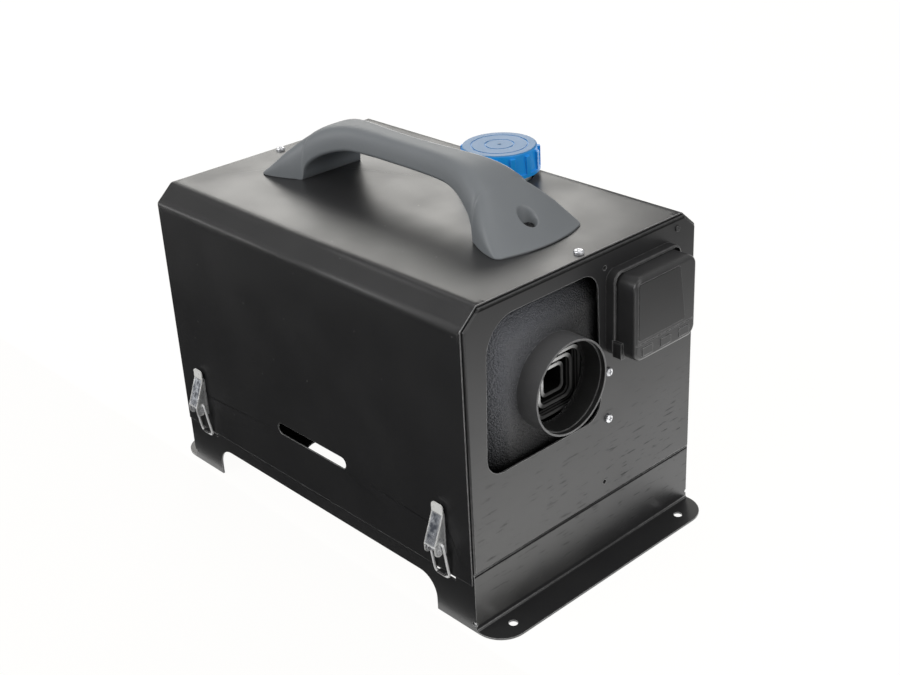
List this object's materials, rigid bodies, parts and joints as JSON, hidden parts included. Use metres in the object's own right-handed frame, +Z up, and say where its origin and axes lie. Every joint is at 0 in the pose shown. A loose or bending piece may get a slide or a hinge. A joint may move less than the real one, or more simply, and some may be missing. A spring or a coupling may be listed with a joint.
{
  "type": "diesel air heater",
  "caption": "Sheet-steel cased diesel air heater with carrying handle, fuel tank with screw cap, round hot-air outlet, side toggle latches and a small end-mounted controller.",
  "frame": {"origin": "on the ground, under the middle of the case and its mounting flanges", "axes": "+X along the case towards the hot-air outlet end, +Y across towards the tank side, +Z up"},
  "size_m": [0.4256, 0.2766, 0.3152],
  "materials": {
    "black_coat": "semi-gloss powder coat",
    "black_plastic": "finely grained",
    "controller_black": "satin",
    "window_black": "semi-gloss overlay",
    "grey_plastic": "fine satin",
    "blue_plastic": "satin",
    "tank_plastic": "milky translucent",
    "zinc": "bright zinc plate",
    "wire": "bright",
    "cast_aluminium": "as cast",
    "steel": "plain",
    "rubber": "matt",
    "gasket": "fibre gasket, matt",
    "filter_clear": "translucent",
    "pipe_white": "translucent white",
    "board_green": "circuit board",
    "lead_black": "satin sheath"
  },
  "bodies": {
    "case": {"base_tray": "black_coat", "outlet_panel": "black_coat", "intake_panel": "black_coat", "top_cover": "black_coat", "tank_divider": "black_coat", "heater_stand": "black_coat", "cover_screws": "zinc", "divider_screws": "zinc", "panel_bolts": "zinc", "panel_rivet": "zinc", "power_grommet": "rubber", "latch_plates": "zinc", "latch_pins": "zinc", "latch_rivets": "zinc", "handle": "grey_plastic", "handle_bolts": "zinc", "fuel_tank": "tank_plastic", "tank_fitting": "steel", "fuel_pump": "steel", "pump_clamp": "rubber", "fuel_filter": "filter_clear", "suction_hoses": "rubber", "delivery_pipe": "pipe_white", "heater_upper_shell": "black_plastic", "heater_lower_shell": "black_plastic", "outlet_hood": "black_plastic", "intake_guard": "black_plastic", "heat_exchanger": "cast_aluminium", "foot_gasket": "gasket", "foot_nuts": "zinc", "stand_bolts": "zinc", "burner_tube": "steel", "burner_gasket": "gasket", "glow_plug": "steel", "blower_housing": "cast_aluminium", "blower_motor": "steel", "control_board": "board_green", "control_lead": "lead_black", "controller_plate": "controller_black", "controller_screws": "zinc", "controller_housing": "controller_black", "display_window": "window_black", "controller_board": "board_green"},
    "lever_near_outlet": {"lever_near_outlet": "zinc"},
    "bail_near_outlet": {"bail_near_outlet": "wire"},
    "lever_near_intake": {"lever_near_intake": "zinc"},
    "bail_near_intake": {"bail_near_intake": "wire"},
    "lever_far_outlet": {"lever_far_outlet": "zinc"},
    "bail_far_outlet": {"bail_far_outlet": "wire"},
    "lever_far_intake": {"lever_far_intake": "zinc"},
    "bail_far_intake": {"bail_far_intake": "wire"},
    "cap": {"fuel_cap": "blue_plastic", "cap_seal": "rubber"},
    "rotor": {"motor_shaft": "steel", "heating_fan": "black_plastic", "combustion_impeller": "cast_aluminium"},
    "key_down": {"key_down": "controller_black"},
    "key_power": {"key_power": "controller_black"},
    "key_up": {"key_up": "controller_black"}
  },
  "joints": [
    {"name": "lever_near_outlet_hinge", "type": "hinge", "parent": "case", "child": "lever_near_outlet", "pos_m": [0.1545, -0.134, 0.0665], "axis": [1, 0, 0], "range_deg": [0, 150]},
    {"name": "bail_near_outlet_hinge", "type": "hinge", "parent": "lever_near_outlet", "child": "bail_near_outlet", "pos_m": [0.1545, -0.132, 0.072], "axis": [1, 0, 0], "range_deg": [-180.5, 0.5]},
    {"name": "lever_near_intake_hinge", "type": "hinge", "parent": "case", "child": "lever_near_intake", "pos_m": [-0.1545, -0.134, 0.0665], "axis": [1, 0, 0], "range_deg": [0, 150]},
    {"name": "bail_near_intake_hinge", "type": "hinge", "parent": "lever_near_intake", "child": "bail_near_intake", "pos_m": [-0.1545, -0.132, 0.072], "axis": [1, 0, 0], "range_deg": [-180.5, 0.5]},
    {"name": "lever_far_outlet_hinge", "type": "hinge", "parent": "case", "child": "lever_far_outlet", "pos_m": [0.1545, 0.134, 0.0665], "axis": [-1, 0, 0], "range_deg": [0, 150]},
    {"name": "bail_far_outlet_hinge", "type": "hinge", "parent": "lever_far_outlet", "child": "bail_far_outlet", "pos_m": [0.1545, 0.132, 0.072], "axis": [-1, 0, 0], "range_deg": [-180.5, 0.5]},
    {"name": "lever_far_intake_hinge", "type": "hinge", "parent": "case", "child": "lever_far_intake", "pos_m": [-0.1545, 0.134, 0.0665], "axis": [-1, 0, 0], "range_deg": [0, 150]},
    {"name": "bail_far_intake_hinge", "type": "hinge", "parent": "lever_far_intake", "child": "bail_far_intake", "pos_m": [-0.1545, 0.132, 0.072], "axis": [-1, 0, 0], "range_deg": [-180.5, 0.5]},
    {"name": "cap_turn", "type": "hinge", "parent": "case", "child": "cap", "pos_m": [0.017, 0.082, 0.28], "axis": [0, 0, 1], "range_deg": [0, 450]},
    {"name": "rotor_spin", "type": "hinge", "parent": "case", "child": "rotor", "pos_m": [-0.12, -0.0295, 0.1745], "axis": [1, 0, 0], "continuous": true},
    {"name": "key_down_press", "type": "slide", "parent": "case", "child": "key_down", "axis": [-1, 0, 0], "range_m": [0, 0.0006], "stiffness_N_per_m": 300},
    {"name": "key_power_press", "type": "slide", "parent": "case", "child": "key_power", "axis": [-1, 0, 0], "range_m": [0, 0.0006], "stiffness_N_per_m": 300},
    {"name": "key_up_press", "type": "slide", "parent": "case", "child": "key_up", "axis": [-1, 0, 0], "range_m": [0, 0.0006], "stiffness_N_per_m": 300}
  ],
  "couplings": [
    {"joint": "bail_near_outlet_hinge", "follows": "lever_near_outlet_hinge", "ratio": -1.2},
    {"joint": "bail_near_intake_hinge", "follows": "lever_near_intake_hinge", "ratio": -1.2},
    {"joint": "bail_far_outlet_hinge", "follows": "lever_far_outlet_hinge", "ratio": -1.2},
    {"joint": "bail_far_intake_hinge", "follows": "lever_far_intake_hinge", "ratio": -1.2}
  ]
}
